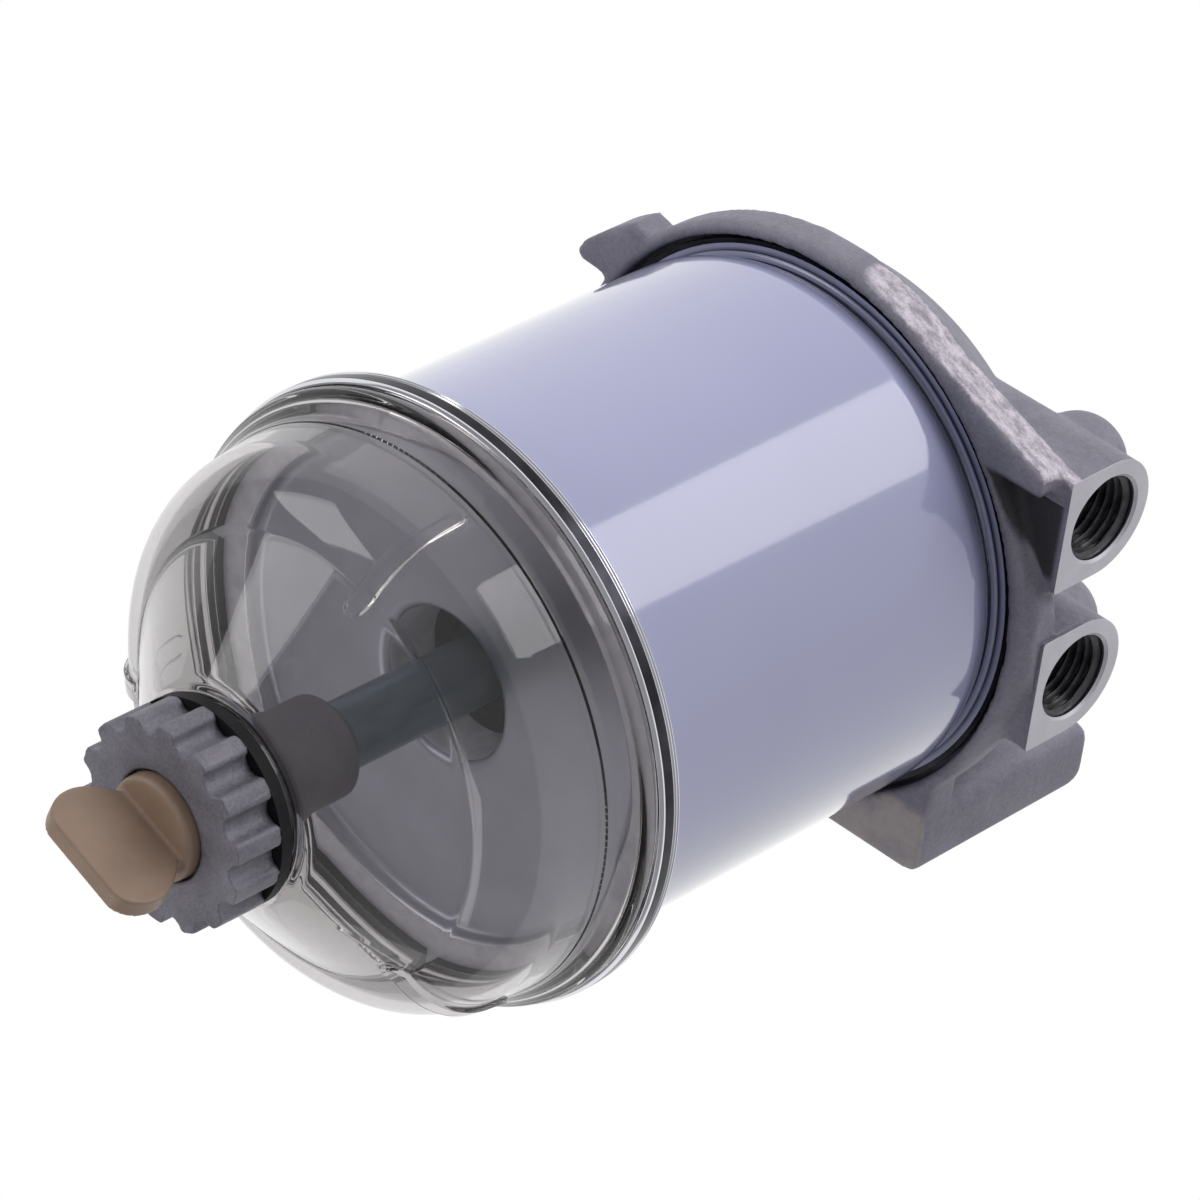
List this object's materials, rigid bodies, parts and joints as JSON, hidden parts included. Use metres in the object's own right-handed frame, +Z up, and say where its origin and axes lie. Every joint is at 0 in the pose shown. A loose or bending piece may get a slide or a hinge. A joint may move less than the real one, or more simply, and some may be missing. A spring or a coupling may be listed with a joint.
{
  "type": "fuel filter assembly",
  "caption": "Screw-together diesel fuel filter: cast head with side ports and mounting pad, painted canister, clear sediment bowl, hand nut and drain screw.",
  "frame": {"origin": "midpoint between the two tapped mounting holes, on the back face of the mounting pad", "axes": "+Z up along the filter's axis, towards the head; +Y out of the mounting pad's back face, towards the bracket; +X out of the two fuel ports"},
  "size_m": [0.0969, 0.0958, 0.1805],
  "materials": {
    "cast_aluminium": "raw sand cast, satin, with machined port faces",
    "white_paint": "gloss white baked enamel on steel",
    "tinned_steel": "bright tinned sheet steel",
    "zinc_steel": "zinc plated steel tube",
    "nut_casting": "die cast, satin grey",
    "clear_plastic": "clear moulded plastic, glossy",
    "black_rubber": "black nitrile rubber, matt",
    "beige_plastic": "beige moulded plastic, satin",
    "filter_media": "pleated resin-treated filter paper"
  },
  "bodies": {
    "head_and_canister": {"filter_head": "cast_aluminium", "head_seal_ring": "black_rubber", "top_centre_seal": "black_rubber", "centre_tube": "zinc_steel", "canister_shell": "white_paint", "canister_top_plate": "tinned_steel", "canister_bottom_plate": "tinned_steel", "upper_end_cap": "tinned_steel", "lower_end_cap": "tinned_steel", "filter_paper": "filter_media", "perforated_core": "tinned_steel", "bottom_grommet": "black_rubber", "bowl_seal_ring": "black_rubber", "sediment_bowl": "clear_plastic"},
    "nut_washer_carrier": {"nut_seal_washer": "black_rubber"},
    "hand_nut": {"hand_nut": "nut_casting", "neck_o_ring": "black_rubber"},
    "drain_ring_carrier": {"drain_o_ring": "black_rubber"},
    "drain_screw": {"drain_screw": "beige_plastic"}
  },
  "joints": [
    {"name": "hand_nut_travel", "type": "slide", "parent": "head_and_canister", "child": "nut_washer_carrier", "axis": [0, 0, -1], "range_m": [0, 0.0045]},
    {"name": "hand_nut_turn", "type": "hinge", "parent": "nut_washer_carrier", "child": "hand_nut", "pos_m": [0, -0.0464, -0.1415], "axis": [0, 0, -1], "range_deg": [0, 1080]},
    {"name": "drain_screw_travel", "type": "slide", "parent": "hand_nut", "child": "drain_ring_carrier", "axis": [0, 0, -1], "range_m": [0, 0.0025]},
    {"name": "drain_screw_turn", "type": "hinge", "parent": "drain_ring_carrier", "child": "drain_screw", "pos_m": [0, -0.0464, -0.1415], "axis": [0, 0, -1], "range_deg": [0, 720]}
  ],
  "couplings": [
    {"joint": "hand_nut_turn", "follows": "hand_nut_travel", "rad_per_m": 4188.8},
    {"joint": "drain_screw_turn", "follows": "drain_screw_travel", "rad_per_m": 5026.5}
  ]
}
